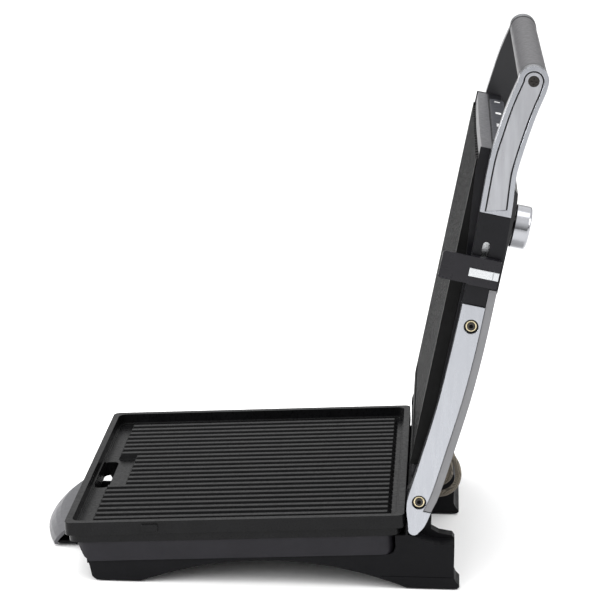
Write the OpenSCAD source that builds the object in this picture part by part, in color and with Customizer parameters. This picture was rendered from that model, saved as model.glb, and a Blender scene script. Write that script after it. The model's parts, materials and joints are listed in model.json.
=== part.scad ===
// Panini press: a ribbed contact grill with a floating lid, standing open.
// +Z is up, -Y is the front where the drip tray is, +X is the user's right.
// The cooking bed leans a little forward so that fat runs to the drain slot.
// Two arms turn on the base behind the bed; the lid hangs between them on two pivots.

/* [Cooking bed] */
// Width of the lower plate across its rim
bed_w = 266; // [250:1:300]
// Length of the lower plate from front to rear
bed_l = 250; // [240:1:255]
// Height of the plate's rear rim above the table
bed_z = 58.5; // [58:0.5:62]
// Forward lean of the bed, degrees
bed_tilt = 2.9; // [2:0.1:3]
// Thickness of the raised rim wall
rim_t = 5; // [4:0.5:6]
// Height of the rim above the well's floor
well_d = 9; // [8.5:0.5:9.5]
// Distance between neighbouring ribs
rib_pitch = 10; // [9:0.5:10]
// Width of a rib's flat top
rib_top = 4.2; // [3:0.1:5]
// Width of a rib's foot
rib_foot = 7; // [6:0.1:8]
// Drop from the rim to the rib tops
rib_drop = 4.4; // [4:0.1:5]
// Width of the drain slot
slot_w = 61; // [50:1:62]
// Length of the drain slot from front to rear
slot_l = 12; // [11:0.5:12]

/* [Lid and arms] */
// Lean of the open lid behind the vertical, degrees
lid_lean = 10.8; // [5:0.1:15]
// Width of the upper plate
lid_plate_w = 228; // [220:1:228]
// Width of the lid's shell
shell_w = 232; // [232:1:233]
// Thickness of an arm, liner and cover together
arm_t = 14.5; // [14:0.5:15]
// Distance from the hinge to the lid's pivot, along the arm
pivot_a = 137.2; // [130:0.1:145]
// Distance from the hinge to the handle, along the arm
handle_a = 317.5; // [317:0.5:318]
// Radius of the handle's bar
handle_r = 10.2; // [9:0.1:10.4]
// Diameter of the temperature knob
knob_d = 33.4; // [30:0.1:36]

/* [Drip tray] */
// Width of the drip tray
tray_w = 119; // [100:1:119]
// Length of the part of the tray under the bed
tray_l = 91; // [70:1:92]
// Radius of the tray's bowed front
grip_r = 165; // [150:1:180]

/* [Hidden] */
$fn = 64;

// Places in the base
bed_y = 88.5;
hinge_y = 99.1;
hinge_z = 68.3;
pad_h = 1;
skirt_d = 9.8;
step_d = 16;
tub_d = 31;
pan_t = 3;
tub_w = 261;
tub_wall = 3;
tub_front = -243;
tub_rear = -8;
chute_w = 68;
base_w = 259;
block_x = 107;
cheek_x = 116.5;
cheek_r = 9.5;
box_x = -30;
box_rear = 106.5;
block_rear = 125.4;
arch_r = 268.5;
arch_top = 19.6;
arch_y = -7;
rail_x = 60.2;
gland_y = 108;
gland_z = 20;
gland_wall = 7.5;
tray_z = 2.3;
tray_rear = -72;
tray_front = tray_rear - tray_l;
grip_y = -193;
// Places in the lid, along it from the hinge (a) and out from the cooking face (b)
face_b = -11.6;
skirt_top_b = -2.1;
plate_a0 = 22;
plate_a1 = 253.5;
shell_a0 = 14;
hem_a0 = 8;
shell_a1 = 262.5;
cover_b = 12;
pivot_b = 9.2;
handle_b = 14.8;
head_r = 10.6;
knob_a = 186;
housing_b = 28.2;
// Places across the arms
arm_x = 117.5;
liner_x = 121;
arm_out = arm_x + arm_t;
rail_out = arm_out - 1;
lower_end = 152.6;
upper_start = 220.2;
rail_gap = 0.3;
inlay_d = 2;
strip_w = 5.6;
strip_a0 = -6;
strip_a1 = 166;
strip_out = arm_out - 0.8;
slot_a0 = 170.4;
slot_a1 = 199.6;
slot_b = 7.4;
clip_a0 = 168.5;
clip_a1 = 188.8;
clip_x = rail_out + 0.3;
clip_out = rail_out + 6;
accent_out = clip_out + 0.9;
hook_x = bed_w / 2 + 2;
tie_a = 38;
tie_b = 13.2;
// Hinge fit: the bush turns in the arm with a running clearance
bush_r = 4;
ring_r = 5;
run_fit = 0.05;
// Wiring harness: two strands, and where each one's first bend lies
strand_r = 2.5;
strand_x = [36, 28];
strand_z = [41, 46.8];
saddle_b = 19.3;
// The bounding box is centred: the clip stands out on the right only
mid_x = (bed_w / 2 - accent_out) / 2;
head_y = hinge_y + handle_a * sin(lid_lean) + handle_b * cos(lid_lean) + head_r;
mid_y = -(grip_y + head_y) / 2;

// ---- Frames ----
module base_frame() { translate([mid_x, mid_y, 0]) children(); }

// Bed frame: z = 0 on the rim, y = 0 at its rear edge, y = -bed_l at its front edge
module bed_frame() { base_frame() translate([0, bed_y, bed_z]) rotate([bed_tilt, 0, 0]) children(); }

// Lid frame: z runs along the lid from the hinge (a), y runs out of its back (b)
module lid_frame() { base_frame() translate([0, hinge_y, hinge_z]) rotate([-lid_lean, 0, 0]) children(); }

// ---- Helpers ----
// Extrude a side outline, given as [y, z] points, across the machine
module across(x0, x1) { translate([x0, 0, 0]) rotate([90, 0, 90]) linear_extrude(x1 - x0) children(); }

module both_sides() { children(); mirror([1, 0, 0]) children(); }

module block(x0, x1, y0, y1, z0, z1) { translate([x0, y0, z0]) cube([x1 - x0, y1 - y0, z1 - z0]); }

// A rod along X at [y, z]
module rod(x0, x1, y, z, r) { translate([x0, y, z]) rotate([0, 90, 0]) cylinder(h = x1 - x0, r = r); }

// A rod that stands out of the lid's back, along b
module peg(x, a, b0, b1, r) { translate([x, b0, a]) rotate([-90, 0, 0]) cylinder(h = b1 - b0, r = r); }

module round_rect(w, l, r) {
    square([w - 2 * r, l], center = true);
    square([w, l - 2 * r], center = true);
    for (x = [-1, 1], y = [-1, 1]) translate([x * (w / 2 - r), y * (l / 2 - r)]) circle(r);
}

// Points of a smooth curve through the given ones
function held(p, i) = p[min(max(i, 0), len(p) - 1)];
function spline_at(p, i, t) =
    let (a = held(p, i - 1), b = held(p, i), c = held(p, i + 1), d = held(p, i + 2))
    0.5 * (2 * b + (c - a) * t + (2 * a - 5 * b + 4 * c - d) * t * t + (3 * b - a - 3 * c + d) * t * t * t);
function smooth(p, n) =
    [for (i = [0 : len(p) - 2]) for (j = [0 : n - 1]) spline_at(p, i, j / n), p[len(p) - 1]];

// ---- Lower plate, heater and reflector ----
// One rib lies along the bed from y0 to y1 with sloped ends
module bed_rib(x, y0, y1) {
    h = well_d - rib_drop;
    end_slope = 2.5;
    intersection() {
        translate([x, y1, -well_d]) rotate([90, 0, 0]) linear_extrude(y1 - y0)
            polygon([[-rib_foot / 2, -0.4], [rib_foot / 2, -0.4], [rib_top / 2, h], [-rib_top / 2, h]]);
        across(x - rib_foot, x + rib_foot)
            polygon([[y0, -well_d - 1], [y1, -well_d - 1], [y1, -well_d],
                     [y1 - end_slope, -rib_drop], [y0 + end_slope, -rib_drop], [y0, -well_d]]);
    }
}

// Skirt, stepped underside and lock tab of the plate, hollow below
module plate_body() {
    mid = -bed_l / 2;
    difference() {
        union() {
            translate([0, mid, -skirt_d]) linear_extrude(skirt_d) round_rect(bed_w, bed_l, 5);
            translate([0, mid - 0.5, -step_d]) linear_extrude(step_d - skirt_d + 1)
                round_rect(bed_w - 3.6, bed_l - 4.5, 9);
            // tab that the clip's barb slides under
            block(bed_w / 2 - 1, hook_x - 0.4, -bed_l + 57.5, -bed_l + 69.2, -7.6, -2.3);
        }
        translate([0, mid, -step_d - 1]) linear_extrude(step_d - 10.5) round_rect(bed_w - 13, bed_l - 14, 6);
    }
}

module lower_plate() {
    rib_rear = -10.5;
    rib_front = -bed_l + 16.5;
    rib_front_middle = -bed_l + 30;
    mid = -bed_l / 2;
    slot_y = -bed_l + 5.8 + slot_l / 2;
    spout_d = 20;
    spout_t = 2.4;
    color([0.2, 0.2, 0.2]) bed_frame() {
        difference() {
            union() {
                plate_body();
                // spout round the drain slot
                translate([0, slot_y, -spout_d]) linear_extrude(spout_d - 9)
                    round_rect(slot_w + 2 * spout_t, slot_l + 2 * spout_t, 5 + spout_t);
            }
            translate([0, mid, -well_d + 1.2]) linear_extrude(well_d)
                round_rect(bed_w - 2 * rim_t, bed_l - 2 * rim_t, 6);
            translate([0, mid, -well_d]) linear_extrude(well_d)
                round_rect(bed_w - 2 * rim_t - 4, bed_l - 2 * rim_t - 4, 6);
            translate([0, slot_y, -spout_d - 1]) linear_extrude(spout_d + 1) round_rect(slot_w, slot_l, 5);
        }
        for (i = [-11 : 11]) bed_rib(i * rib_pitch, abs(i) < 4 ? rib_front_middle : rib_front, rib_rear);
    }
}

// A tube heater bent to a U, with its two ends at the rear
module heater_loop(leg_x, bend, end, r) {
    for (x = [-leg_x, leg_x]) translate([x, end, 0]) rotate([90, 0, 0]) cylinder(h = end - bend, r = r);
    translate([0, bend, 0]) rotate([0, 0, 180]) rotate_extrude(angle = 180)
        translate([leg_x, 0]) circle(r = r);
}

module lower_heater() {
    color([0.55, 0.55, 0.56]) bed_frame() translate([0, 0, -14.9]) heater_loop(72, -bed_l + 106, -16, 3.3);
}

module lower_reflector() {
    color([0.8, 0.81, 0.82]) bed_frame() difference() {
        block(-116, 116, -bed_l + 28, -14, -25, -19.5);
        block(-115.2, 115.2, -bed_l + 28.8, -14.8, -24.2, -19);
    }
}

// ---- Lower housing: the tub that carries the plate ----
module tub_solid(inset, top) {
    intersection() {
        translate([0, 0, -tub_d - 1]) linear_extrude(tub_d + 1 - top) difference() {
            translate([0, (tub_front + tub_rear) / 2])
                round_rect(tub_w - 2 * inset, tub_rear - tub_front - 2 * inset, 11 - inset);
            translate([-chute_w / 2 - inset, -245]) square([chute_w + 2 * inset, 16 + inset]);
        }
        across(-tub_w, tub_w) polygon([[tub_front - 0.4 + inset, -top], [tub_rear - inset, -top],
            [tub_rear - inset, -tub_d + 5], [tub_rear - 1.5 - inset, -tub_d + 1.5],
            [tub_rear - 5 - inset, -tub_d - inset], [tub_front + 10 + inset, -tub_d - inset],
            [tub_front + 5.7 + inset, -tub_d + 3.4]]);
    }
}

module lower_housing() {
    color([0.22, 0.21, 0.24]) bed_frame() difference() {
        tub_solid(0, step_d);
        intersection() {
            tub_solid(tub_wall, step_d - 5);
            block(-tub_w, tub_w, -bed_l, 0, -tub_d - 5, 0);
        }
    }
}

// ---- Underbase: pan, arched side walls, feet, hinge cheeks and terminal box ----
// Outline of a rear foot and block, up to the scooped ledge under an arm's tail
function block_foot() = [[91.2, pad_h], [127.8, pad_h], [129.6, 2.4], [129.6, 3.6], [126.9, 6.4],
    [block_rear, 9.6]];
function block_ledge() = concat(block_foot(), [[block_rear, 35.4], [114.6, 35], [110.3, 35.6], [104.5, 37.4],
    [100.1, 39.6], [95.6, 41.3], [91.4, 42.2], [90.8, 50.4], [89.8, 50.4], [89.6, 28], [91.2, 20]]);
function block_inner() = concat(block_foot(), [[block_rear, 35.2], [123.6, 37.8], [113.8, 39.4],
    [108.1, 42.6], [108.6, 68], [89.9, 68], [89.6, 28], [91.2, 20]]);

module side_wall() {
    difference() {
        across(base_w / 2 - 4, base_w / 2)
            polygon([[-144, 15.4], [-141.2, 3.4], [-138, pad_h], [91.4, pad_h], [91.4, 41.8], [81.9, 41.6],
                     [82.5, 32.1], [81.1, 28.4], [78.2, 26.7]]);
        rod(base_w / 2 - 5, base_w / 2 + 1, arch_y, arch_top - arch_r, arch_r, $fn = 200);
    }
}

module front_foot() {
    across(base_w / 2 - 33, base_w / 2 - 3)
        polygon([[-143.6, 14], [-141.2, 3.4], [-138, pad_h], [-110, pad_h], [-107.4, 3], [-107.4, 15]]);
}

// Ledge, inner wall and hinge cheek of one side
module hinge_block() {
    across(cheek_x, base_w / 2) polygon(block_ledge());
    across(block_x, cheek_x) union() {
        polygon(block_inner());
        translate([hinge_y, hinge_z]) circle(cheek_r);
    }
}

// Rails that hold the tray by its edges
module tray_rail() {
    across(rail_x, rail_x + 2.5) polygon([[-141, 0.8], [-66, 0.8], [-66, 18], [-141, 14]]);
    block(rail_x - 3.4, rail_x + 1, -141, -66, 0.8, 1.8);
}

module underbase() {
    color([0.11, 0.11, 0.12]) difference() {
        union() {
            base_frame() {
                both_sides() { side_wall(); front_foot(); hinge_block(); tray_rail(); }
                // terminal box on the left, and the low box between the cheeks
                across(-block_x, box_x) polygon(concat(block_foot(), [[block_rear, 33], [122.4, 36],
                    [box_rear + 2, 36], [box_rear, 36], [box_rear, 54], [89.9, 54], [89.6, 28], [91.2, 20]]));
                block(box_x, block_x, 89.9, box_rear, 18, 54);
            }
            bed_frame() difference() {
                block(-126, 126, -bed_l + 14, -0.4, -tub_d - pan_t, -tub_d);
                block(-chute_w / 2 - 3, chute_w / 2 + 3, -bed_l, -bed_l + 24, -tub_d - 4, -tub_d + 1);
            }
        }
        base_frame() {
            both_sides() rod(block_x - 1, cheek_x + 1, hinge_y, hinge_z, bush_r);
            // hollow of the terminal box, and of the low box
            block(-base_w / 2 + gland_wall, box_x - 4, 95, block_rear - 4, -1, 31);
            block(box_x + 4, block_x - 4, 93.5, box_rear - 3, 15, 50.5);
            // power gland hole, and harness gland hole
            rod(-base_w / 2 - 1, -base_w / 2 + gland_wall + 1, gland_y, gland_z, 6);
            harness_opening();
            // pads, sunk in the feet
            for (p = pad_places()) translate([p[0], p[1], -1]) cylinder(h = 3.5, r = 6);
            // groove above each rear foot
            both_sides() block(base_w / 2 - 0.4, base_w / 2 + 1, 72, block_rear + 1, 9.4, 9.9);
        }
    }
}

module harness_opening() {
    block(strand_x[1] - 5.5, strand_x[0] + 5.5, box_rear - 4, box_rear + 1, 36.5, 51);
}

function pad_places() = [for (x = [-1, 1], y = [-124, 114]) [x * 118, y]];

module terminal_cover() {
    color([0.1, 0.1, 0.11]) base_frame() difference() {
        block(-121.8, box_x - 4.2, 95.2, block_rear - 4.2, 1.4, 3.4);
        translate([-118, 114, 1]) cylinder(h = 3, r = 6.4);
    }
}

module foot_pads() {
    color([0.05, 0.05, 0.05]) base_frame() for (p = pad_places()) translate(p) cylinder(h = 2.5, r = 6);
}

module base_screws() {
    color([0.5, 0.5, 0.52]) base_frame() for (x = [-48, -104], y = [101, 115.5]) difference() {
        translate([x, y, 0.6]) cylinder(h = 0.8, r = 3);
        block(x - 1.8, x + 1.8, y - 0.4, y + 0.4, 0.5, 0.9);
        block(x - 0.4, x + 0.4, y - 1.8, y + 1.8, 0.5, 0.9);
    }
}

// Strain relief for the power cord, in the terminal box's left wall
module power_gland() {
    nose = 3.3;
    sleeve = 5.2;
    color([0.07, 0.07, 0.08]) base_frame() translate([-base_w / 2, gland_y, gland_z])
    rotate([0, -90, 0]) difference() {
        union() {
            translate([0, 0, -gland_wall]) cylinder(h = gland_wall, r = 6);
            translate([0, 0, -gland_wall - sleeve]) cylinder(h = sleeve, r = 5.4);
            cylinder(h = nose / 2, r = 7.5);
            translate([0, 0, nose / 2]) cylinder(h = nose / 2, r1 = 6, r2 = 5.4);
        }
        translate([0, 0, -gland_wall - sleeve - 1]) cylinder(h = gland_wall + sleeve + nose + 2, r = 3.3);
    }
}

module harness_gland() {
    color([0.06, 0.06, 0.07]) base_frame() difference() {
        union() {
            intersection() {
                harness_opening();
                block(-200, 200, box_rear - 3, box_rear, 0, 100);
            }
            block(strand_x[1] - 7, strand_x[0] + 7, box_rear, box_rear + 1.5, 35, 52.5);
        }
        for (i = [0, 1]) translate([strand_x[i], box_rear - 5, strand_z[i]]) rotate([-90, 0, 0])
            cylinder(h = 8, r = strand_r + 0.15);
    }
}

// ---- Hinge and pivot hardware ----
module bushes(y, z, x0) {
    both_sides() difference() {
        rod(x0, arm_out - 1.5, y, z, bush_r);
        rod(x0 - 1, arm_out, y, z, 2.2);
    }
}

module socket_screws(y, z, x0) {
    both_sides() difference() {
        union() {
            rod(x0, arm_out - 1.5, y, z, 2.2);
            rod(arm_out - 1.5, arm_out - 0.5, y, z, 3);
        }
        rod(arm_out - 1.3, arm_out, y, z, 1.6, $fn = 6);
    }
}

module washers(y, z, x0, x1) {
    both_sides() difference() {
        rod(x0, x1, y, z, 7);
        rod(x0 - 1, x1 + 1, y, z, bush_r);
    }
}

// Retaining rings on the bushes' outer ends, sunk in the arms
module rings(y, z) {
    both_sides() difference() {
        rod(arm_out - 2.4, arm_out - 1.6, y, z, ring_r);
        rod(arm_out - 3, arm_out, y, z, bush_r);
    }
}

module hinge_bushes() { color([0.78, 0.74, 0.62]) base_frame() bushes(hinge_y, hinge_z, block_x); }
module hinge_screws() { color([0.3, 0.29, 0.28]) base_frame() socket_screws(hinge_y, hinge_z, block_x + 1); }
module hinge_washers() {
    color([0.7, 0.7, 0.7]) base_frame() washers(hinge_y, hinge_z, cheek_x, arm_x - 0.2);
}
module hinge_rings() { color([0.05, 0.05, 0.05]) base_frame() rings(hinge_y, hinge_z); }
module pivot_bushes() { color([0.78, 0.74, 0.62]) lid_frame() bushes(pivot_b, pivot_a, 106); }
module pivot_screws() { color([0.3, 0.29, 0.28]) lid_frame() socket_screws(pivot_b, pivot_a, 107); }
module pivot_washers() {
    color([0.7, 0.7, 0.7]) lid_frame() washers(pivot_b, pivot_a, shell_w / 2, arm_x - 0.2);
}
module pivot_rings() { color([0.05, 0.05, 0.05]) lid_frame() rings(pivot_b, pivot_a); }

// ---- Drip tray ----
module tray_plan(r) {
    intersection() {
        union() {
            translate([0, grip_y + grip_r]) circle(r, $fn = 160);
            translate([-tray_w / 2, tray_front]) square([tray_w, tray_l]);
        }
        translate([-tray_w / 2, grip_y - 1]) square([tray_w, tray_rear - grip_y + 1]);
    }
}

module drip_tray() {
    color([0.12, 0.12, 0.13]) base_frame() difference() {
        union() {
            translate([0, 0, tray_z]) linear_extrude(1.8) tray_plan(grip_r - 2.6);
            block(-tray_w / 2, tray_w / 2, tray_front, tray_rear, tray_z, 11.2);
        }
        block(-tray_w / 2 + 2, tray_w / 2 - 2, tray_front + 2, tray_rear - 2, tray_z + 1.8, 12);
    }
}

// Hollow bowed grip, open at both ends
module drip_tray_grip() {
    half = 62;
    color([0.46, 0.46, 0.48]) base_frame() intersection() {
        translate([0, grip_y + grip_r, 0]) rotate_extrude($fn = 160)
            translate([grip_r, 0]) polygon([[-2.6, 2], [-0.4, 2], [0, 4], [-1.8, 7.4], [-5.4, 11.6], [-9, 14.6],
                [-12, 15.2], [-38, 15.2], [-38, 13.4], [-11.4, 13.4], [-7.6, 10.6], [-4.2, 6.6], [-2.6, 4.3]]);
        block(-half, half, grip_y - 1, tray_front - 0.2, 0, 20);
    }
}

// ---- Arms ----
// Side outline of an arm, as [b, a] points: front edge from tail to head, then back edge
arm_front = [[-3.4, -22], [-5.1, -16], [-8.6, -2], [-6.4, 22.8], [-2.8, 62], [-1.2, 93], [-0.2, 153], [-1, 190],
    [-2.4, 221], [-3.4, 256.6], [-1.9, 276], [0.6, 297.7], [4.3, 316]];
arm_back = [[25.3, 318], [24.8, 311], [22.1, 297], [20, 282], [18.4, 267], [17.4, 253], [17.9, 243], [19.6, 225],
    [21.4, 188], [21.9, 158], [21.9, 120], [20.4, 82], [17, 44], [13.4, 9], [10.4, -4.4], [7.7, -17], [4.3, -23]];

// Points of a round end, clockwise between two angles and without its first and last point
function round_end(centre, r, from, to) = [for (i = [1 : 15])
    let (t = from + (to - from) * i / 16) centre + r * [cos(t), sin(t)]];

module arm_outline() {
    polygon(concat(smooth(arm_front, 3), round_end([handle_b, handle_a], head_r, 188, 3),
                   smooth(arm_back, 3), round_end([0.6, -21.4], 4.2, -23, -171)));
}

// Outline of the grey strip along an arm's back edge, from a0 to a1
module strip_outline(w, a0, a1) {
    difference() {
        intersection() {
            arm_outline();
            translate([0, a0]) square([40, a1 - a0]);
        }
        translate([-w, 0]) arm_outline();
    }
}

module strip_room() {
    gap = 0.35;
    across(liner_x, arm_out + 1) strip_outline(strip_w + gap, strip_a0 - gap, strip_a1 + gap);
}

module arm_part(x0, x1, a0, a1) {
    across(x0, x1) intersection() {
        arm_outline();
        translate([-40, a0]) square([90, a1 - a0]);
    }
}

module arm_bores() {
    for (p = [[0, 0], [pivot_b, pivot_a]]) {
        rod(arm_x - 1, arm_out + 1, p[0], p[1], bush_r + run_fit);
        rod(arm_out - 2.75, arm_out + 1, p[0], p[1], ring_r + 0.3);
    }
    rod(arm_x - 1, arm_out + 1, handle_b, handle_a, 2.5);
    rod(arm_out - 2.2, arm_out + 1, handle_b, handle_a, 4);
}

module arm_liner() { difference() { arm_part(arm_x, liner_x, -30, 340); arm_bores(); } }

module arm_lower() {
    difference() {
        arm_part(liner_x, arm_out, -30, lower_end);
        arm_bores();
        strip_room();
    }
}

module arm_strip() { across(liner_x, strip_out) strip_outline(strip_w, strip_a0, strip_a1); }

module arm_upper() {
    difference() {
        arm_part(liner_x, arm_out, upper_start, 340);
        arm_bores();
        across(arm_out - inlay_d, arm_out + 1) inlay_outline(1.1);
    }
}

// Inlay panel: the arm's outline drawn in, round at the handle's screw and open at the rail
module inlay_outline(grow) {
    inset = 4.4 - grow;
    front = [for (p = smooth([for (i = [8 : 12]) arm_front[i]], 3)) [p[0] + inset, p[1]]];
    back = [for (p = smooth([for (i = [0 : 7]) arm_back[i]], 3)) [p[0] - inset, p[1]]];
    difference() {
        polygon(concat(front, round_end([handle_b, handle_a], head_r - inset, 188, 3), back));
        translate([-40, 0]) square([90, upper_start + 0.6 - 2 * grow]);
    }
}

module arm_inlay() {
    difference() {
        across(arm_out - inlay_d, arm_out - 0.4) inlay_outline(0);
        rod(arm_out - 3, arm_out + 1, handle_b, handle_a, 4);
    }
}

module arm_rail() {
    head_room = 3;
    difference() {
        arm_part(liner_x, rail_out, lower_end + rail_gap, upper_start - rail_gap);
        strip_room();
        across(liner_x + 4.4, rail_out + 1) slot_shape(5, slot_a0, slot_a1);
        across(liner_x - 1, liner_x + 4.5) slot_shape(10, slot_a0 - head_room, slot_a1 + head_room);
    }
}

module slot_shape(w, a0, a1) {
    translate([slot_b, (a0 + a1) / 2]) round_rect(w, a1 - a0, w / 2 - 0.01);
}

module arm_liner_right() { color([0.27, 0.27, 0.28]) lid_frame() arm_liner(); }
module arm_liner_left() { color([0.27, 0.27, 0.28]) lid_frame() mirror([1, 0, 0]) arm_liner(); }
module arm_lower_right() { color([0.75, 0.76, 0.77]) lid_frame() arm_lower(); }
module arm_lower_left() { color([0.75, 0.76, 0.77]) lid_frame() mirror([1, 0, 0]) arm_lower(); }
module arm_strip_right() { color([0.47, 0.46, 0.45]) lid_frame() arm_strip(); }
module arm_strip_left() { color([0.47, 0.46, 0.45]) lid_frame() mirror([1, 0, 0]) arm_strip(); }
module arm_rail_right() { color([0.12, 0.12, 0.13]) lid_frame() arm_rail(); }
module arm_rail_left() { color([0.12, 0.12, 0.13]) lid_frame() mirror([1, 0, 0]) arm_rail(); }
module arm_upper_right() { color([0.75, 0.76, 0.77]) lid_frame() arm_upper(); }
module arm_upper_left() { color([0.75, 0.76, 0.77]) lid_frame() mirror([1, 0, 0]) arm_upper(); }
module arm_inlay_right() { color([0.66, 0.66, 0.67]) lid_frame() arm_inlay(); }
module arm_inlay_left() { color([0.66, 0.66, 0.67]) lid_frame() mirror([1, 0, 0]) arm_inlay(); }

// Bright strip at the bottom of each rail's slot
module rail_strip() {
    color([0.8, 0.8, 0.8]) lid_frame() both_sides() across(liner_x, liner_x + 0.8)
        slot_shape(9.4, slot_a0 - 2.4, slot_a1 + 2.4);
}

module tie_bar() {
    color([0.2, 0.2, 0.21]) lid_frame() block(-arm_x, arm_x, tie_b, tie_b + 3, tie_a, tie_a + 12);
}

// Saddle that holds the harness on the tie bar
module harness_saddle() {
    x0 = strand_x[1] - 5.5;
    x1 = strand_x[0] + 5.5;
    color([0.08, 0.08, 0.09]) lid_frame() difference() {
        block(x0, x1, tie_b + 3, saddle_b + 4.5, tie_a + 2, tie_a + 10);
        for (x = strand_x) translate([x, saddle_b, tie_a]) cylinder(h = 14, r = strand_r + 0.15);
    }
}

module handle_bar() {
    color([0.47, 0.47, 0.49]) lid_frame() difference() {
        rod(-arm_x, arm_x, handle_b, handle_a, handle_r);
        both_sides() rod(arm_x - 20, arm_x + 1, handle_b, handle_a, 2.5);
    }
}

module handle_screws() {
    color([0.06, 0.06, 0.06]) lid_frame() both_sides() difference() {
        union() {
            rod(arm_x - 18, arm_out - 2.2, handle_b, handle_a, 2.5);
            rod(arm_out - 2.2, arm_out - 0.4, handle_b, handle_a, 4);
        }
        block(arm_out - 1.4, arm_out, handle_b - 2.6, handle_b + 2.6, handle_a - 0.5, handle_a + 0.5);
        block(arm_out - 1.4, arm_out, handle_b - 0.5, handle_b + 0.5, handle_a - 2.6, handle_a + 2.6);
    }
}

// ---- Height clip on the right arm ----
module height_clip() {
    mid = (clip_a0 + clip_a1) / 2;
    barb_b = -21.6;
    color([0.17, 0.17, 0.19]) lid_frame() {
        across(clip_x, clip_out) translate([9.6, mid]) round_rect(21.8, clip_a1 - clip_a0, 1.5);
        across(hook_x, clip_out) translate([barb_b + 12, mid + 0.3]) round_rect(24, clip_a1 - clip_a0 - 0.6, 1.5);
        block(clip_x, clip_out, -2.4, -1, clip_a0 + 1, clip_a1 - 1);
        block(bed_w / 2 + 0.4, clip_out, barb_b, barb_b + 1.6, clip_a0 + 12, clip_a1 - 0.8);
        // stem and head that run in the rail's slot
        across(liner_x + 4, clip_x + 0.5) slot_shape(4.6, 171, 181);
        across(liner_x + 1.2, liner_x + 4.2) slot_shape(9.2, 168.4, 183.6);
    }
}

module height_clip_accent() {
    color([0.8, 0.81, 0.81]) lid_frame() difference() {
        block(clip_out, accent_out, -1, 20.2, 174.8, 180.6);
        block(accent_out - 0.5, accent_out + 1, 15.8, 16.4, 174, 182);
    }
}

// ---- Lid: plate, heater, shell and trim ----
module upper_plate() {
    h = 4.5;
    groove_b = face_b + h;
    n = 22;
    half = lid_plate_w / 2;
    color([0.3, 0.3, 0.3]) lid_frame() difference() {
        union() {
            block(-half, half, groove_b, skirt_top_b, plate_a0, plate_a1);
            for (x = [-half, half - 5]) block(x, x + 5, face_b, groove_b + 1, plate_a0, plate_a1);
            block(-half, half, face_b, groove_b + 1, plate_a0, plate_a0 + 5);
            intersection() {
                translate([0, 0, plate_a0]) linear_extrude(plate_a1 - plate_a0) for (i = [0 : n - 1])
                    let (x = (i - (n - 1) / 2) * rib_pitch) polygon([[x - rib_foot / 2, groove_b + 0.4],
                        [x - rib_top / 2, face_b], [x + rib_top / 2, face_b], [x + rib_foot / 2, groove_b + 0.4]]);
                across(-half, half) polygon([[groove_b + 1, plate_a0 + 8], [face_b, plate_a0 + 12],
                    [face_b, plate_a1 - 2.2], [groove_b + 1, plate_a1]]);
            }
        }
        block(-half + 3.5, half - 3.5, groove_b + 3.4, skirt_top_b + 1, plate_a0 + 3.5, plate_a1 - 3.5);
    }
}

module upper_heater() {
    heater_b = face_b + 7.95 + 2.4;
    color([0.55, 0.55, 0.56]) lid_frame() translate([0, heater_b, 0]) rotate([90, 0, 0])
        rotate([0, 0, 180]) translate([0, -plate_a0 - plate_a1, 0]) heater_loop(70, 100, 218, 2.4);
}

module upper_reflector() {
    color([0.8, 0.81, 0.82]) lid_frame() difference() {
        block(-104, 104, 3.6, 6, plate_a0 + 62, plate_a1 - 12);
        block(-103.2, 103.2, 3, 5.2, plate_a0 + 62.8, plate_a1 - 12.8);
    }
}

// Side outline of the shell, drawn in by t
module shell_side(t) {
    polygon([[-8.4 + t, shell_a0 + t], [2 - t, shell_a0 + t], [3 - t, 52], [10.6 - t, 72 + t], [cover_b - t, 78 + t],
        [cover_b - t, 250 - t], [11.2 - t, 257 - t], [8.6 - t, shell_a1 - t], [-12, shell_a1 - t],
        [-12, 44], [-8.4 + t, plate_a0 - 2]]);
}

module lid_shell() {
    wall = 2.4;
    half = shell_w / 2;
    skirt_x = lid_plate_w / 2 + 0.2;
    color([0.12, 0.12, 0.13]) lid_frame() difference() {
        union() {
            difference() {
                across(-half, half) shell_side(0);
                across(-half + wall, half - wall) shell_side(wall);
                // the plate's own place, open on the cooking side
                block(-skirt_x, skirt_x, -13, skirt_top_b + 0.2, plate_a0 - 0.3, shell_a1 + 1);
                // side skirts stop level with the plate's skirt behind the clip
                both_sides() across(skirt_x - 2, half + 1)
                    polygon([[-13, 0], [-8.6, plate_a0], [skirt_top_b, plate_a0 + 2], [skirt_top_b, 163],
                             [-10.6, 246], [-10.6, 270], [-20, 270], [-20, 0]]);
            }
            both_sides() rod(106, half - 1, pivot_b - 1, pivot_a, 8);
        }
        both_sides() rod(100, half + 1, pivot_b, pivot_a, bush_r);
        // holes for the knob's shaft and the harness
        peg(0, knob_a, cover_b - 4, cover_b + 2, 9);
        for (x = strand_x) peg(x, 62, 2, 12, 3.4);
        block(-150, 150, cover_b, 40, 0, 300);
    }
}

// Lip that closes the shell's rear edge, between the hinge cheeks
module lid_hem() {
    half = block_x - 2;
    color([0.12, 0.12, 0.13]) lid_frame() across(-half, half)
        polygon([[-8.4, shell_a0], [-8.4, hem_a0 + 1.5], [-6.9, hem_a0], [0.5, hem_a0], [2, hem_a0 + 1.5], [2, shell_a0]]);
}

module lid_cover() {
    color([0.72, 0.72, 0.73]) lid_frame() difference() {
        block(-106, 106, cover_b, cover_b + 0.8, 82, 250);
        peg(0, knob_a, cover_b - 1, cover_b + 2, 9);
    }
}

// Grey trim across the lid's front end, with a lower edge that dips in the middle
module lid_trim() {
    half = lid_plate_w / 2 - 0.3;
    dip = 0.8;
    arc_r = (half * half + dip * dip) / (2 * dip);
    color([0.5, 0.5, 0.52]) lid_frame() translate([0, 0, plate_a1 + 0.5]) linear_extrude(8.2) intersection() {
        translate([0, -9.8 - dip + arc_r]) circle(arc_r, $fn = 720);
        translate([-half, -20]) square([2 * half, 20 + skirt_top_b]);
    }
}

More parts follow.
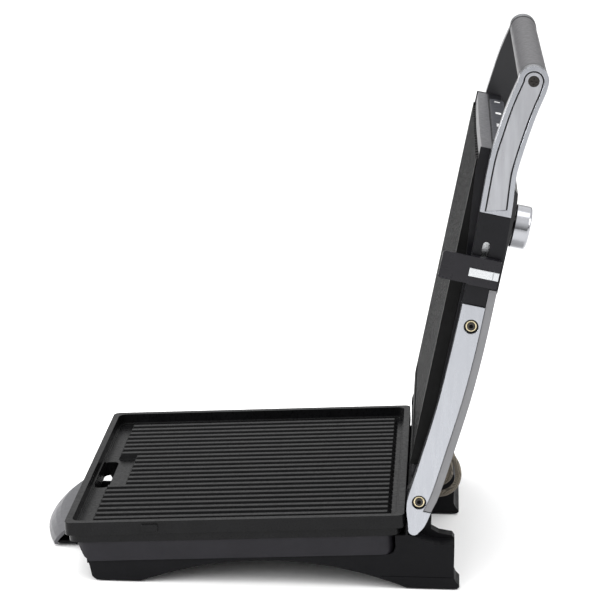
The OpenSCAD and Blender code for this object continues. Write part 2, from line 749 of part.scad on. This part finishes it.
module front_panel() {
    color([0.29, 0.29, 0.32]) lid_frame() translate([0, 4.4, shell_a1]) linear_extrude(1)
        round_rect(172, 11.2, 5);
}

// Four heat pictures on the panel: one to four upright bars
module panel_icons() {
    color("white") lid_frame() for (k = [0 : 3]) for (j = [0 : k])
        translate([-74 + 49.3 * k + (j - k / 2) * 4.2, 4.6, shell_a1 + 1]) linear_extrude(0.25)
            square([2.2, 4.4], center = true);
}

module control_housing() {
    half = 58;
    color([0.13, 0.13, 0.14]) lid_frame() difference() {
        intersection() {
            across(-half, half) polygon([[cover_b + 0.8, 138], [26.4, 141.4], [housing_b, 144.4], [housing_b, 213],
                [27, 221.4], [22.4, 226.4], [cover_b + 0.8, 231]]);
            translate([0, 0, 100]) linear_extrude(160)
                polygon([[-half, 0], [half, 0], [half - 3, housing_b - 4], [half - 7, housing_b + 0.1],
                         [-half + 7, housing_b + 0.1], [-half + 3, housing_b - 4]]);
        }
        intersection() {
            across(-half + 4, half - 4) polygon([[cover_b, 141], [25, 144], [25, 219], [cover_b, 228]]);
            block(-100, 100, 0, 25.6, 100, 260);
        }
        peg(0, knob_a, 20, 40, 4);
        for (x = [-1, 1]) peg(x * 24, 157, 20, 40, 3);
    }
}

module indicator_lenses() {
    color([0.5, 0.06, 0.04]) lid_frame() for (x = [-1, 1]) {
        peg(x * 24, 157, 24.5, housing_b, 3);
        peg(x * 24, 157, housing_b, housing_b + 0.8, 3.6);
    }
}

module thermostat() {
    color([0.75, 0.73, 0.68]) lid_frame() difference() {
        union() {
            peg(0, knob_a, cover_b + 0.8, cover_b + 9, 12);
            block(-16, 16, cover_b + 0.8, cover_b + 2.2, knob_a - 14, knob_a + 14);
        }
        peg(0, knob_a, cover_b + 3, cover_b + 10, 3.4);
    }
}

module dial_bezel() {
    color([0.07, 0.07, 0.08]) lid_frame() difference() {
        peg(0, knob_a, housing_b, housing_b + 2.6, 19);
        peg(0, knob_a, housing_b + 1.2, housing_b + 3, 17.6);
        peg(0, knob_a, housing_b - 1, housing_b + 3, 4);
    }
}

module lid_gland() {
    color([0.06, 0.06, 0.07]) lid_frame() for (x = strand_x) difference() {
        peg(x, 62, 3, 9.3, 3.4);
        peg(x, 62, 2.9, 10, strand_r + 0.15);
    }
}

// ---- Knob ----
module knob() {
    b0 = housing_b + 3.4;
    b1 = 44.4;
    r = knob_d / 2;
    color([0.8, 0.8, 0.81]) lid_frame() difference() {
        translate([0, b0, knob_a]) rotate([-90, 0, 0]) rotate_extrude($fn = 96)
            polygon([[0, 0], [r - 1, 0], [r, 1], [r, b1 - b0 - 2], [r - 0.6, b1 - b0 - 0.8],
                     [r - 2, b1 - b0], [0, b1 - b0]]);
        peg(0, knob_a, b0 - 1, b0 + 6, 3);
        peg(0, knob_a, b0 - 1, b0 + 4, r - 4);
        block(-0.7, 0.7, b1 - 0.5, b1 + 1, knob_a + 4, knob_a + r + 1);
    }
}

module knob_shaft() {
    color([0.7, 0.7, 0.72]) lid_frame() peg(0, knob_a, cover_b + 3.4, housing_b + 9.4, 3);
}

// ---- Wiring harness between base and lid ----
// Routes of the two strands, as [y, z] points: out of the base, up in a loop, then up to the saddle
route_outer = [[104.5, 41], [109, 41], [114.2, 41.2], [120.4, 43.2], [125.8, 48.4], [128, 56], [126.8, 64.4],
    [123, 71.8], [121, 78.6], [121.8, 84.6], [123.7, 94.2], [125.8, 105.2]];
route_inner = [[104.5, 46.8], [108.5, 46.8], [112.8, 47], [117.6, 48.9], [120.9, 52.6], [121.6, 57.4], [120.8, 63],
    [119.9, 68.4], [120.1, 74.8], [121.8, 84.6], [123.7, 94.2], [125.8, 105.2]];

module strand(x, route) {
    points = smooth(route, 2);
    base_frame() for (i = [0 : len(points) - 2]) hull() for (p = [points[i], points[i + 1]])
        translate([x, p[0], p[1]]) sphere(r = strand_r, $fn = 16);
}

module harness_outer() { color([0.47, 0.44, 0.39]) strand(strand_x[0], route_outer); }
module harness_inner() { color([0.42, 0.39, 0.35]) strand(strand_x[1], route_inner); }

// From the middle of the saddle each strand bends over into the lid
module strand_tail(x) {
    bend = 10;
    a1 = 62 - bend;
    lid_frame() {
        translate([x, saddle_b, tie_a + 6]) cylinder(h = a1 - tie_a - 6, r = strand_r, $fn = 24);
        translate([x, saddle_b - bend, a1]) rotate([90, 0, 90]) rotate_extrude(angle = 90)
            translate([bend, 0]) circle(r = strand_r, $fn = 24);
        peg(x, a1 + bend, 4, saddle_b - bend, strand_r, $fn = 24);
    }
}
module harness_tail_outer() { color([0.47, 0.44, 0.39]) strand_tail(strand_x[0]); }
module harness_tail_inner() { color([0.42, 0.39, 0.35]) strand_tail(strand_x[1]); }

lower_plate();
lower_heater();
lower_reflector();
lower_housing();
underbase();
terminal_cover();
foot_pads();
base_screws();
power_gland();
harness_gland();
hinge_bushes();
hinge_screws();
hinge_washers();
hinge_rings();
drip_tray();
drip_tray_grip();
arm_liner_right();
arm_liner_left();
arm_lower_right();
arm_lower_left();
arm_rail_right();
arm_rail_left();
arm_upper_right();
arm_upper_left();
arm_inlay_right();
arm_inlay_left();
arm_strip_right();
arm_strip_left();
rail_strip();
tie_bar();
harness_saddle();
handle_bar();
handle_screws();
height_clip();
height_clip_accent();
upper_plate();
upper_heater();
upper_reflector();
lid_shell();
lid_hem();
lid_cover();
lid_trim();
front_panel();
panel_icons();
control_housing();
indicator_lenses();
thermostat();
dial_bezel();
pivot_bushes();
pivot_screws();
pivot_washers();
pivot_rings();
lid_gland();
knob();
knob_shaft();
harness_outer();
harness_inner();
harness_tail_outer();
harness_tail_inner();
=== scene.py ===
"""Looks of the panini press: materials, fine parts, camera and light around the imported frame."""

import json
import math

import bpy
from mathutils import Matrix, Vector


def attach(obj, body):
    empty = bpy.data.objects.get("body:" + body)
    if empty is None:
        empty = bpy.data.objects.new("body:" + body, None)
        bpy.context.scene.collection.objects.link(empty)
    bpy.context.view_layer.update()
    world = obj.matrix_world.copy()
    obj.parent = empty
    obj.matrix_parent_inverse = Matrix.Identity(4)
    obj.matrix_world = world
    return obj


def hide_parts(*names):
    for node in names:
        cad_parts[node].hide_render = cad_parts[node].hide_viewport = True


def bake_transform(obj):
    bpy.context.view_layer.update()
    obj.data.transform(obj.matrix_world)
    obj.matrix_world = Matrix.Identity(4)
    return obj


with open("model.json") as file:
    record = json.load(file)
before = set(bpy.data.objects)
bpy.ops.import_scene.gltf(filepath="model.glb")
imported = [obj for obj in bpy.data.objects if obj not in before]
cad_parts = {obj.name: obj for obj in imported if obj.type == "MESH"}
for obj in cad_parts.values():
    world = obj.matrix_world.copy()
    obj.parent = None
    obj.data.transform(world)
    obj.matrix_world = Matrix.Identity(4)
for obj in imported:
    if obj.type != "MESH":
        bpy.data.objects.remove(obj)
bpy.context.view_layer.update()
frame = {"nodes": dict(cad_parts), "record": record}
nodes = frame["nodes"]

MM = 0.001
SIDES = (("right", 1), ("left", -1))

# The drawing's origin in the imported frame, which is centred on the press's own box
MID_X = -2.45 * MM
MID_Y = 4.634 * MM

# The open lid: its hinge, its lean to the rear, and its directions along itself and out of its back
HINGE = Vector((MID_X, MID_Y + 99.1 * MM, 68.3 * MM))
LEAN = math.radians(10.8)
ALONG = Vector((0, math.sin(LEAN), math.cos(LEAN)))
OUT = Vector((0, math.cos(LEAN), -math.sin(LEAN)))

# An arm's outer face, from the middle of the press, and the depth of its inlay's pocket, in mm
ARM_OUT = 132
INLAY_D = 2


# ---- Places ----
def lid_point(x, b, a):
    """A point of the open lid: x across, b out of its back and a along it from the hinge, in mm."""
    return HINGE + Vector((x * MM, 0, 0)) + OUT * (b * MM) + ALONG * (a * MM)


# ---- Camera ----
def add_camera():
    """The photograph's view: a long lens, low, from the press's right."""
    camera = bpy.data.cameras.new("camera")
    camera.lens = 138
    camera.sensor_width = 36
    camera.clip_end = 20
    item = bpy.data.objects.new("camera", camera)
    bpy.context.scene.collection.objects.link(item)
    yaw = math.radians(-3.61)
    down = math.radians(14.96)
    roll = math.radians(-0.16)
    forward = Vector((-math.cos(yaw) * math.cos(down), math.sin(yaw) * math.cos(down), -math.sin(down)))
    right = forward.cross(Vector((0, 0, 1))).normalized()
    up = right.cross(forward)
    turn = Matrix.Rotation(roll, 3, forward)
    place = Matrix((turn @ right, turn @ up, -forward)).transposed().to_4x4()
    from_middle = Vector((1707.3, 111.6, 640.4))
    place.translation = from_middle * MM + Vector((MID_X, MID_Y, 0))
    item.matrix_world = place
    bpy.context.scene.camera = item


# ---- Light ----
def add_area(name, place, aim, size, power):
    """A rectangular soft light that faces the point aim."""
    lamp = bpy.data.lights.new(name, "AREA")
    lamp.shape = "RECTANGLE"
    lamp.size, lamp.size_y = size
    lamp.energy = power
    item = bpy.data.objects.new(name, lamp)
    bpy.context.scene.collection.objects.link(item)
    item.location = place
    item.rotation_euler = (Vector(aim) - Vector(place)).to_track_quat("-Z", "Y").to_euler()


def add_world():
    """A soft studio dome: bright overhead, darker towards the horizon."""
    world = bpy.data.worlds.new("studio")
    world.use_nodes = True
    tree = world.node_tree
    direction = tree.nodes.new("ShaderNodeTexCoord").outputs["Generated"]
    split = tree.nodes.new("ShaderNodeSeparateXYZ")
    tree.links.new(direction, split.inputs["Vector"])
    ramp = tree.nodes.new("ShaderNodeValToRGB")
    horizon = (0.02, 0.16)
    overhead = (0.62, 1.0)
    for stop, (height, level) in zip(ramp.color_ramp.elements, (horizon, overhead)):
        stop.position = height
        stop.color = (level, level, level, 1)
    tree.links.new(split.outputs["Z"], ramp.inputs["Fac"])
    background = tree.nodes["Background"]
    tree.links.new(ramp.outputs["Color"], background.inputs["Color"])
    background.inputs["Strength"].default_value = 1.5
    bpy.context.scene.world = world
    bpy.context.scene.view_settings.view_transform = "Standard"


def add_lights():
    """Four lights around the press: a large one above, and smaller ones to its right, front and rear."""
    middle = (0, 0, 0.15)
    add_area("top_light", (0.1, -0.1, 1.5), middle, size=(1.4, 1.4), power=12)
    add_area("key_light", (1.3, -0.9, 0.9), middle, size=(0.8, 0.8), power=5)
    add_area("front_light", (0.2, -1.5, 0.6), middle, size=(1.1, 0.25), power=13)
    add_area("rear_light", (0.5, 1.4, 0.9), middle, size=(0.8, 0.8), power=7)


def add_floor():
    """A plain pale floor, which isn't part of the press."""
    mesh = bpy.data.meshes.new("floor")
    reach = 6
    mesh.from_pydata([(-reach, -reach, 0), (reach, -reach, 0), (reach, reach, 0), (-reach, reach, 0)],
                     [], [(0, 1, 2, 3)])
    item = bpy.data.objects.new("floor", mesh)
    bpy.context.scene.collection.objects.link(item)
    look = Shader("floor_white")
    look.surface(color=(0.93, 0.93, 0.93), rough=0.8)
    mesh.materials.append(look.material)


# ---- Materials ----
def linear(*rgb):
    """sRGB 0 to 255 as the linear colour that a shader socket takes."""
    return tuple((c / 255 / 12.92) if c <= 10 else ((c / 255 + 0.055) / 1.055) ** 2.4 for c in rgb)


def shade(color, factor):
    """A colour made darker or lighter, up to white."""
    return tuple(min(c * factor, 1) for c in color)


class Shader:
    """One procedural material: a Principled shader and the nodes that feed it."""

    def __init__(self, name):
        self.material = bpy.data.materials.new(name)
        self.material.use_nodes = True
        self.tree = self.material.node_tree
        self.base = self.tree.nodes["Principled BSDF"]
        self.place = self.add("ShaderNodeTexCoord").outputs["Object"]
        # a small round on every edge, as on a moulded or pressed part
        self.edge = self.add("ShaderNodeBevel", samples=6)
        self.edge.inputs["Radius"].default_value = 0.6 * MM
        self.link(self.edge.outputs["Normal"], self.base.inputs["Normal"])

    def add(self, kind, **settings):
        """A new node of this kind, with its settings."""
        node = self.tree.nodes.new(kind)
        for key, value in settings.items():
            setattr(node, key, value)
        return node

    def link(self, source, target):
        """Joins a node's output to another's input."""
        self.tree.links.new(source, target)

    def surface(self, color, rough, metallic=0.0, coat=0.0, coat_rough=0.1, specular=0.5):
        """The values that are the same all over the surface."""
        self.base.inputs["Base Color"].default_value = (*color, 1)
        self.base.inputs["Roughness"].default_value = rough
        self.base.inputs["Metallic"].default_value = metallic
        self.base.inputs["Coat Weight"].default_value = coat
        self.base.inputs["Coat Roughness"].default_value = coat_rough
        self.base.inputs["Specular IOR Level"].default_value = specular

    def stretched(self, scale):
        """The object's coordinates, drawn out along the axes where scale is small."""
        mapping = self.add("ShaderNodeMapping")
        mapping.inputs["Scale"].default_value = scale
        self.link(self.place, mapping.inputs["Vector"])
        return mapping.outputs["Vector"]

    def noise(self, scale, detail, stretch=None, rough=0.5):
        """Noise from 0 to 1 over the surface."""
        node = self.add("ShaderNodeTexNoise")
        node.inputs["Scale"].default_value = scale
        node.inputs["Detail"].default_value = detail
        node.inputs["Roughness"].default_value = rough
        self.link(self.stretched(stretch) if stretch else self.place, node.inputs["Vector"])
        return node.outputs["Fac"]

    def ramp(self, value, low, high, start=0.3, end=0.7):
        """Maps a value to between two colours."""
        node = self.add("ShaderNodeValToRGB")
        node.color_ramp.elements[0].position = start
        node.color_ramp.elements[1].position = end
        node.color_ramp.elements[0].color = (*low, 1)
        node.color_ramp.elements[1].color = (*high, 1)
        self.link(value, node.inputs["Fac"])
        return node.outputs["Color"]

    def between(self, value, low, high):
        """Maps a noise's usual span to between two numbers."""
        node = self.add("ShaderNodeMapRange")
        node.inputs["From Min"].default_value = 0.3
        node.inputs["From Max"].default_value = 0.7
        node.inputs["To Min"].default_value = low
        node.inputs["To Max"].default_value = high
        self.link(value, node.inputs["Value"])
        return node.outputs["Result"]

    def color_from(self, output):
        """Takes the base colour from a node."""
        self.link(output, self.base.inputs["Base Color"])

    def rough_from(self, output):
        """Takes the roughness from a node."""
        self.link(output, self.base.inputs["Roughness"])

    def bump(self, height, strength, distance):
        """Fine relief, on top of the rounded edges."""
        node = self.add("ShaderNodeBump")
        node.inputs["Strength"].default_value = strength
        node.inputs["Distance"].default_value = distance
        self.link(height, node.inputs["Height"])
        self.link(self.edge.outputs["Normal"], node.inputs["Normal"])
        self.link(node.outputs["Normal"], self.base.inputs["Normal"])


def grained_plastic(name, color, rough=0.45, grain=0.25, specular=0.3):
    """Moulded plastic with a fine spark-eroded grain and faint mottling."""
    look = Shader(name)
    look.surface(color, rough, specular=specular)
    look.color_from(look.ramp(look.noise(60, detail=4), shade(color, 0.9), shade(color, 1.1)))
    look.rough_from(look.between(look.noise(220, detail=3), rough - 0.06, rough + 0.08))
    look.bump(look.noise(1800, detail=2), strength=grain, distance=0.2 * MM)
    return look.material


def brushed_metal(name, color, stretch, rough, metallic=0.9):
    """Metal brushed along the axis that stretch leaves small."""
    look = Shader(name)
    look.surface(color, rough, metallic=metallic)
    lines = look.noise(900, detail=4, stretch=stretch, rough=0.6)
    look.color_from(look.ramp(lines, shade(color, 0.88), shade(color, 1.08)))
    look.rough_from(look.between(lines, rough - 0.08, rough + 0.12))
    look.bump(lines, strength=0.12, distance=0.2 * MM)
    return look.material


def painted_metal(name, color, rough=0.4, coat=0.15):
    """Satin paint with a slight orange peel."""
    look = Shader(name)
    look.surface(color, rough, coat=coat, coat_rough=0.3, specular=0.3)
    look.color_from(look.ramp(look.noise(45, detail=3), shade(color, 0.94), shade(color, 1.05)))
    look.rough_from(look.between(look.noise(300, detail=2), rough - 0.05, rough + 0.07))
    look.bump(look.noise(700, detail=2), strength=0.08, distance=0.3 * MM)
    return look.material


def nonstick(name, color, rough, specular):
    """Cast plate under a sprayed non-stick coat: fine pits and soft streaks."""
    look = Shader(name)
    look.surface(color, rough, specular=specular)
    look.color_from(look.ramp(look.noise(90, detail=5), shade(color, 0.82), shade(color, 1.2)))
    look.rough_from(look.between(look.noise(400, detail=4), rough - 0.08, rough + 0.12))
    look.bump(look.noise(1500, detail=3), strength=0.14, distance=0.2 * MM)
    return look.material


def polished(name, color, rough):
    """Bright metal with faint cloudiness."""
    look = Shader(name)
    look.surface(color, rough, metallic=1.0)
    look.color_from(look.ramp(look.noise(80, detail=3), shade(color, 0.95), shade(color, 1.03)))
    look.rough_from(look.between(look.noise(500, detail=3), rough, rough + 0.07))
    return look.material


def rubber(name, color):
    """Dull rubber with a coarse skin."""
    look = Shader(name)
    look.surface(color, rough=0.75, specular=0.2)
    look.color_from(look.ramp(look.noise(120, detail=4), shade(color, 0.85), shade(color, 1.2)))
    look.rough_from(look.between(look.noise(500, detail=3), 0.65, 0.85))
    look.bump(look.noise(2500, detail=2), strength=0.3, distance=0.2 * MM)
    return look.material


def clear_lens(name, color):
    """Coloured plastic of an indicator, under a gloss coat."""
    look = Shader(name)
    look.surface(color, rough=0.12, coat=0.5)
    look.color_from(look.ramp(look.noise(200, detail=2), shade(color, 0.8), shade(color, 1.2)))
    return look.material


def braid(name, color, dark):
    """Woven sleeve: two crossing sets of fine diagonal threads."""
    look = Shader(name)
    look.surface(color, rough=0.8)
    waves = []
    for turn in (1, -1):
        mapping = look.add("ShaderNodeMapping")
        mapping.inputs["Rotation"].default_value = (0.6 * turn, 0.5 * turn, 0.9 * turn)
        look.link(look.place, mapping.inputs["Vector"])
        wave = look.add("ShaderNodeTexWave")
        wave.inputs["Scale"].default_value = 330
        wave.inputs["Distortion"].default_value = 1.5
        look.link(mapping.outputs["Vector"], wave.inputs["Vector"])
        waves.append(wave.outputs["Fac"])
    weave = look.add("ShaderNodeMath", operation="MULTIPLY")
    look.link(waves[0], weave.inputs[0])
    look.link(waves[1], weave.inputs[1])
    look.color_from(look.ramp(weave.outputs["Value"], dark, color, start=0.05, end=0.5))
    look.bump(weave.outputs["Value"], strength=0.6, distance=0.4 * MM)
    return look.material


# Stretches of the brush marks, small along the marks
LENGTHWAYS = (1.0, 0.03, 1.0)
ALONG_ARM = (1.0, 0.25, 0.03)
SIDEWAYS = (0.03, 1.0, 1.0)

# Each slot of the record: how it is made, its sRGB colour, and what else sets its look
MATERIALS = {
    "nonstick_cast": (nonstick, (14, 14, 15), {"rough": 0.3, "specular": 0.13}),
    "nonstick_upper": (nonstick, (17, 17, 17), {"rough": 0.48, "specular": 0.07}),
    "housing_grey": (grained_plastic, (28, 27, 31), {"specular": 0.16}),
    "base_black": (grained_plastic, (14, 14, 16), {"rough": 0.5, "specular": 0.08}),
    "arm_metal": (brushed_metal, (158, 160, 165), {"stretch": ALONG_ARM, "rough": 0.22, "metallic": 1.0}),
    "inlay_metal": (brushed_metal, (165, 166, 170), {"stretch": ALONG_ARM, "rough": 0.34, "metallic": 1.0}),
    "liner_grey": (painted_metal, (34, 34, 36), {"rough": 0.45}),
    # strip_grey: the arm's bevelled back strip, greyer than the arm's cover as painted shade of a face
    # turned from the light
    "strip_grey": (painted_metal, (112, 112, 114), {"rough": 0.42}),
    "handle_grey": (painted_metal, (62, 61, 64), {"rough": 0.38}),
    "trim_grey": (painted_metal, (76, 76, 79), {}),
    "lid_black": (grained_plastic, (17, 17, 20), {"rough": 0.35, "grain": 0.1, "specular": 0.16}),
    "panel_dark": (grained_plastic, (52, 53, 58), {"rough": 0.4, "grain": 0.05}),
    "icon_white": (painted_metal, (235, 235, 235), {"rough": 0.5, "coat": 0.0}),
    "cover_steel": (brushed_metal, (196, 198, 200), {"stretch": SIDEWAYS, "rough": 0.28}),
    "knob_chrome": (polished, (160, 161, 165), {"rough": 0.12}),
    "bush_brass": (polished, (196, 184, 152), {"rough": 0.22}),
    "screw_steel": (polished, (58, 56, 54), {"rough": 0.3}),
    "heater_steel": (brushed_metal, (150, 148, 146), {"stretch": LENGTHWAYS, "rough": 0.35}),
    "reflector_alu": (brushed_metal, (210, 211, 213), {"stretch": SIDEWAYS, "rough": 0.2}),
    "rubber_black": (rubber, (16, 16, 17), {}),
    "braid_brown": (braid, (132, 123, 109), {"dark": linear(62, 57, 49)}),
    "lens_red": (clear_lens, (140, 20, 14), {}),
    "clip_black": (grained_plastic, (24, 23, 27), {"rough": 0.3, "grain": 0.06, "specular": 0.22}),
}


def paint_frame():
    """Gives every CAD node the procedural material of its record slot."""
    made = {slot: make(slot, linear(*rgb), **look) for slot, (make, rgb, look) in MATERIALS.items()}
    for part in frame["record"]["subparts"]:
        mesh = nodes[part["node"]].data
        mesh.materials.clear()
        mesh.materials.append(made[part["material_slot"]])
    return made


def paint_groove_shade():
    """The floor of each inlay's pocket is painted dark: painted shade in the groove round the inlay."""
    # painted shade: a near-black paint for the pocket floors, standing for the shade in the groove
    groove_shade = painted_metal("painted_groove_shade", linear(22, 22, 24), rough=0.5, coat=0.0)
    near = 0.05 * MM
    for side, sign in SIDES:
        mesh = nodes["arm_upper_" + side].data
        mesh.materials.append(groove_shade)
        floor_x = MID_X + sign * (ARM_OUT - INLAY_D) * MM
        for face in mesh.polygons:
            looks_sideways = abs(face.normal.x) > 0.9
            if looks_sideways and abs(face.center.x - floor_x) < near:
                face.material_index = 1


# ---- Fine parts ----
def smooth(points, steps):
    """Points of a Catmull-Rom curve through the given pairs, with this many steps from one to the next."""
    path = []
    last = len(points) - 1
    for i in range(last):
        before, here, ahead, beyond = (Vector(points[min(max(j, 0), last)]) for j in range(i - 1, i + 3))
        for j in range(steps):
            t = j / steps
            path.append(0.5 * (2 * here + (ahead - before) * t
                               + (2 * before - 5 * here + 4 * ahead - beyond) * t ** 2
                               + (3 * here - before - 3 * ahead + beyond) * t ** 3))
    return path + [Vector(points[last])]


def new_piece(name, points, faces, material):
    """A smooth-shaded mesh in the material of this slot."""
    mesh = bpy.data.meshes.new(name)
    mesh.from_pydata(points, [], faces)
    mesh.materials.append(materials[material])
    item = bpy.data.objects.new(name, mesh)
    bpy.context.scene.collection.objects.link(item)
    for face in mesh.polygons:
        face.use_smooth = True
    return item


def tube(name, x, path, radius, material):
    """A round tube along a path that lies in the plane across X, closed at both ends."""
    sides = 20
    last = len(path) - 1
    points = []
    for i, spot in enumerate(path):
        way = (path[min(i + 1, last)] - path[max(i - 1, 0)]).normalized()
        for k in range(sides):
            angle = 2 * math.pi * k / sides
            off = radius * math.sin(angle)
            points.append((x + radius * math.cos(angle), spot.x - way.y * off, spot.y + way.x * off))
    faces = []
    for i in range(last):
        ring = i * sides
        for k in range(sides):
            after = (k + 1) % sides
            faces.append((ring + k, ring + after, ring + sides + after, ring + sides + k))
    faces.append(tuple(range(sides))[::-1])
    faces.append(tuple(range(last * sides, len(points))))
    return new_piece(name, points, faces, material)


# Where each pair of screws stands, as b and a in mm, and the body it rides on
SOCKETS = {
    "hinge": (0, 0, "base"),
    "pivot": (9.2, 137.2, "lid"),
}


def add_socket_shades():
    """Dark plates on the floors of the six-sided sockets in the hinge and pivot screws' heads: painted
    shade in the sockets.
    """
    radius = 1.5
    thick = 0.08
    depth = 1.2
    corners = [(radius * math.cos(k * math.pi / 3), radius * math.sin(k * math.pi / 3)) for k in range(6)]
    faces = [tuple(range(6)), tuple(range(11, 5, -1))]
    faces += [(k, k + 6, (k + 1) % 6 + 6, (k + 1) % 6) for k in range(6)]
    for name, (b, a, body) in SOCKETS.items():
        for side, sign in SIDES:
            x = sign * (ARM_OUT - depth)
            points = [lid_point(x, b + p, a + q) for p, q in corners]
            points += [lid_point(x - sign * thick, b + p, a + q) for p, q in corners]
            # painted shade: a dark sheet in the rubber_black slot on each socket's floor
            item = new_piece(name + "_socket_shade_" + side, points, faces, "rubber_black")
            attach(item, body)


# Each strand's place across the press, and its route as (y, z), in mm as in the CAD: out of the base,
# up in a loop, then up to the saddle
STRANDS = {
    "outer": (36, (
        (104.5, 41), (109, 41), (114.2, 41.2), (120.4, 43.2), (125.8, 48.4), (128, 56), (126.8, 64.4),
        (123, 71.8), (121, 78.6), (121.8, 84.6), (123.7, 94.2), (125.8, 105.2))),
    "inner": (28, (
        (104.5, 46.8), (108.5, 46.8), (112.8, 47), (117.6, 48.9), (120.9, 52.6), (121.6, 57.4),
        (120.8, 63), (119.9, 68.4), (120.1, 74.8), (121.8, 84.6), (123.7, 94.2), (125.8, 105.2))),
}
STRAND_R = 2.45 * MM

# The saddle on the tie bar and the gland in the lid, between which the strands' tails run, in mm
SADDLE_B = 19.3
GLAND_A = 62


def tail_route():
    """A tail's route as (b, a), in mm: up out of the saddle, then a quarter turn over into the gland."""
    bend = 10
    turn_b = SADDLE_B - bend
    turn_a = GLAND_A - bend
    route = [(SADDLE_B, 44), (SADDLE_B, 50)]
    for angle in (0.2, 0.5, 0.8, 1.1, 1.4):
        route.append((turn_b + bend * math.cos(angle), turn_a + bend * math.sin(angle)))
    return route + [(SADDLE_B - 11, GLAND_A), (4.5, GLAND_A)]


def add_harness():
    """The two braided strands from the base to the lid, held on the tie bar between the arms."""
    for name, (x, route) in STRANDS.items():
        place = MID_X + x * MM
        path = smooth([(MID_Y + y * MM, z * MM) for y, z in route], steps=5)
        low = tube("strand_" + name, place, path, STRAND_R, "braid_brown")
        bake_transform(low)
        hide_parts("harness_" + name)
        path = smooth([lid_point(0, b, a).yz for b, a in tail_route()], steps=4)
        high = tube("strand_tail_" + name, place, path, STRAND_R, "braid_brown")
        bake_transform(high)
        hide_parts("harness_tail_" + name)


add_camera()
add_world()
add_lights()
add_floor()
materials = paint_frame()
paint_groove_shade()
add_socket_shades()
add_harness()
